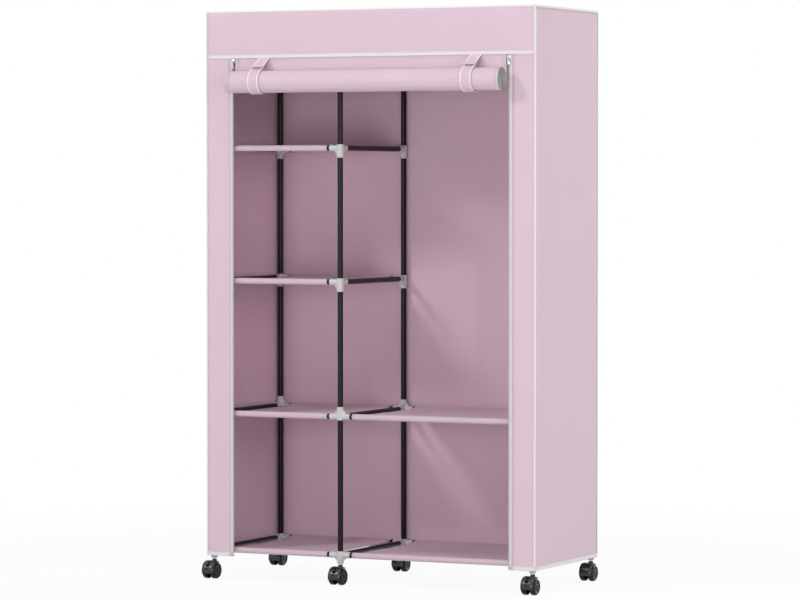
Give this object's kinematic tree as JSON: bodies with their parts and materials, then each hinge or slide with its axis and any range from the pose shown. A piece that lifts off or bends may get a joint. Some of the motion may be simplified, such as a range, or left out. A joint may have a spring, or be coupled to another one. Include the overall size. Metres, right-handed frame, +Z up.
{
  "type": "portable fabric wardrobe",
  "caption": "Fabric wardrobe on casters: tube frame in moulded connectors, cloth shelves beside a hanging bay, zipped cover with its door rolled up and strapped.",
  "frame": {"origin": "on the floor, under the middle of the overall width and depth, with the rolled door counted in the depth", "axes": "+Z up, the open front faces -Y, +X towards the hanging bay"},
  "size_m": [1.0806, 0.5338, 1.686],
  "materials": {
    "upright": "satin white moulding on black lacquered tube",
    "black_tube": "gloss black lacquer",
    "shelf_cloth": "plain pink non-woven cloth",
    "cover_cloth": "plain pink non-woven cloth with white bindings",
    "zip_metal": "bright plated",
    "caster_moulding": "satin black",
    "wheel_moulding": "matt dark grey tread"
  },
  "bodies": {
    "wardrobe": {"upright_front_left": "upright", "upright_front_middle": "upright", "upright_front_right": "upright", "upright_back_left": "upright", "upright_back_middle": "upright", "upright_back_right": "upright", "side_tube_left_1": "black_tube", "side_tube_left_2": "black_tube", "side_tube_left_3": "black_tube", "side_tube_left_4": "black_tube", "side_tube_left_5": "black_tube", "side_tube_middle_1": "black_tube", "side_tube_middle_2": "black_tube", "side_tube_middle_3": "black_tube", "side_tube_middle_4": "black_tube", "side_tube_middle_5": "black_tube", "side_tube_right_1": "black_tube", "side_tube_right_2": "black_tube", "side_tube_right_5": "black_tube", "top_tube_front_left": "black_tube", "top_tube_front_right": "black_tube", "top_tube_back_left": "black_tube", "top_tube_back_right": "black_tube", "hanging_rod": "black_tube", "shelf_left_1": "shelf_cloth", "shelf_left_2": "shelf_cloth", "shelf_left_3": "shelf_cloth", "shelf_left_4": "shelf_cloth", "shelf_right_1": "shelf_cloth", "shelf_right_2": "shelf_cloth", "cover_wrap": "cover_cloth", "cover_top": "cover_cloth", "rolled_door": "cover_cloth", "door_strap_left": "cover_cloth", "door_strap_right": "cover_cloth"},
    "caster_front_left": {"caster_hood_front_left": "caster_moulding"},
    "wheel_front_left_east": {"wheel_front_left_east": "wheel_moulding"},
    "wheel_front_left_west": {"wheel_front_left_west": "wheel_moulding"},
    "brake_front_left": {"brake_pedal_front_left": "caster_moulding"},
    "caster_front_middle": {"caster_hood_front_middle": "caster_moulding"},
    "wheel_front_middle_east": {"wheel_front_middle_east": "wheel_moulding"},
    "wheel_front_middle_west": {"wheel_front_middle_west": "wheel_moulding"},
    "brake_front_middle": {"brake_pedal_front_middle": "caster_moulding"},
    "caster_front_right": {"caster_hood_front_right": "caster_moulding"},
    "wheel_front_right_east": {"wheel_front_right_east": "wheel_moulding"},
    "wheel_front_right_west": {"wheel_front_right_west": "wheel_moulding"},
    "brake_front_right": {"brake_pedal_front_right": "caster_moulding"},
    "caster_back_left": {"caster_hood_back_left": "caster_moulding"},
    "wheel_back_left_east": {"wheel_back_left_east": "wheel_moulding"},
    "wheel_back_left_west": {"wheel_back_left_west": "wheel_moulding"},
    "caster_back_middle": {"caster_hood_back_middle": "caster_moulding"},
    "wheel_back_middle_east": {"wheel_back_middle_east": "wheel_moulding"},
    "wheel_back_middle_west": {"wheel_back_middle_west": "wheel_moulding"},
    "caster_back_right": {"caster_hood_back_right": "caster_moulding"},
    "wheel_back_right_east": {"wheel_back_right_east": "wheel_moulding"},
    "wheel_back_right_west": {"wheel_back_right_west": "wheel_moulding"},
    "zip_slider_left": {"zip_slider_left": "zip_metal"},
    "zip_pull_left": {"zip_pull_left": "zip_metal"},
    "zip_slider_right": {"zip_slider_right": "zip_metal"},
    "zip_pull_right": {"zip_pull_right": "zip_metal"}
  },
  "joints": [
    {"name": "caster_swivel_front_left", "type": "hinge", "parent": "wardrobe", "child": "caster_front_left", "pos_m": [-0.52, -0.17446, 0.06], "axis": [0, 0, 1], "continuous": true},
    {"name": "wheel_turn_front_left_east", "type": "hinge", "parent": "caster_front_left", "child": "wheel_front_left_east", "pos_m": [-0.52, -0.19146, 0.02452], "axis": [1, 0, 0], "continuous": true},
    {"name": "wheel_turn_front_left_west", "type": "hinge", "parent": "caster_front_left", "child": "wheel_front_left_west", "pos_m": [-0.52, -0.19146, 0.02452], "axis": [1, 0, 0], "continuous": true},
    {"name": "brake_press_front_left", "type": "hinge", "parent": "caster_front_left", "child": "brake_front_left", "pos_m": [-0.52, -0.20203, 0.04439], "axis": [1, 0, 0], "range_deg": [0, 14]},
    {"name": "caster_swivel_front_middle", "type": "hinge", "parent": "wardrobe", "child": "caster_front_middle", "pos_m": [-0.098, -0.17446, 0.06], "axis": [0, 0, 1], "continuous": true},
    {"name": "wheel_turn_front_middle_east", "type": "hinge", "parent": "caster_front_middle", "child": "wheel_front_middle_east", "pos_m": [-0.098, -0.19146, 0.02452], "axis": [1, 0, 0], "continuous": true},
    {"name": "wheel_turn_front_middle_west", "type": "hinge", "parent": "caster_front_middle", "child": "wheel_front_middle_west", "pos_m": [-0.098, -0.19146, 0.02452], "axis": [1, 0, 0], "continuous": true},
    {"name": "brake_press_front_middle", "type": "hinge", "parent": "caster_front_middle", "child": "brake_front_middle", "pos_m": [-0.098, -0.20203, 0.04439], "axis": [1, 0, 0], "range_deg": [0, 14]},
    {"name": "caster_swivel_front_right", "type": "hinge", "parent": "wardrobe", "child": "caster_front_right", "pos_m": [0.52, -0.17446, 0.06], "axis": [0, 0, 1], "continuous": true},
    {"name": "wheel_turn_front_right_east", "type": "hinge", "parent": "caster_front_right", "child": "wheel_front_right_east", "pos_m": [0.52, -0.19146, 0.02452], "axis": [1, 0, 0], "continuous": true},
    {"name": "wheel_turn_front_right_west", "type": "hinge", "parent": "caster_front_right", "child": "wheel_front_right_west", "pos_m": [0.52, -0.19146, 0.02452], "axis": [1, 0, 0], "continuous": true},
    {"name": "brake_press_front_right", "type": "hinge", "parent": "caster_front_right", "child": "brake_front_right", "pos_m": [0.52, -0.20203, 0.04439], "axis": [1, 0, 0], "range_deg": [0, 14]},
    {"name": "caster_swivel_back_left", "type": "hinge", "parent": "wardrobe", "child": "caster_back_left", "pos_m": [-0.52, 0.24954, 0.06], "axis": [0, 0, 1], "continuous": true},
    {"name": "wheel_turn_back_left_east", "type": "hinge", "parent": "caster_back_left", "child": "wheel_back_left_east", "pos_m": [-0.52, 0.23254, 0.02452], "axis": [1, 0, 0], "continuous": true},
    {"name": "wheel_turn_back_left_west", "type": "hinge", "parent": "caster_back_left", "child": "wheel_back_left_west", "pos_m": [-0.52, 0.23254, 0.02452], "axis": [1, 0, 0], "continuous": true},
    {"name": "caster_swivel_back_middle", "type": "hinge", "parent": "wardrobe", "child": "caster_back_middle", "pos_m": [-0.098, 0.24954, 0.06], "axis": [0, 0, 1], "continuous": true},
    {"name": "wheel_turn_back_middle_east", "type": "hinge", "parent": "caster_back_middle", "child": "wheel_back_middle_east", "pos_m": [-0.098, 0.23254, 0.02452], "axis": [1, 0, 0], "continuous": true},
    {"name": "wheel_turn_back_middle_west", "type": "hinge", "parent": "caster_back_middle", "child": "wheel_back_middle_west", "pos_m": [-0.098, 0.23254, 0.02452], "axis": [1, 0, 0], "continuous": true},
    {"name": "caster_swivel_back_right", "type": "hinge", "parent": "wardrobe", "child": "caster_back_right", "pos_m": [0.52, 0.24954, 0.06], "axis": [0, 0, 1], "continuous": true},
    {"name": "wheel_turn_back_right_east", "type": "hinge", "parent": "caster_back_right", "child": "wheel_back_right_east", "pos_m": [0.52, 0.23254, 0.02452], "axis": [1, 0, 0], "continuous": true},
    {"name": "wheel_turn_back_right_west", "type": "hinge", "parent": "caster_back_right", "child": "wheel_back_right_west", "pos_m": [0.52, 0.23254, 0.02452], "axis": [1, 0, 0], "continuous": true},
    {"name": "zip_travel_left", "type": "slide", "parent": "wardrobe", "child": "zip_slider_left", "axis": [0, 0, -1], "range_m": [0, 1.45]},
    {"name": "zip_pull_swing_left", "type": "hinge", "parent": "zip_slider_left", "child": "zip_pull_left", "pos_m": [-0.4445, -0.19796, 1.539], "axis": [-1, 0, 0], "range_deg": [0, 140]},
    {"name": "zip_travel_right", "type": "slide", "parent": "wardrobe", "child": "zip_slider_right", "axis": [0, 0, -1], "range_m": [0, 1.45]},
    {"name": "zip_pull_swing_right", "type": "hinge", "parent": "zip_slider_right", "child": "zip_pull_right", "pos_m": [0.4525, -0.19796, 1.539], "axis": [-1, 0, 0], "range_deg": [0, 140]}
  ]
}
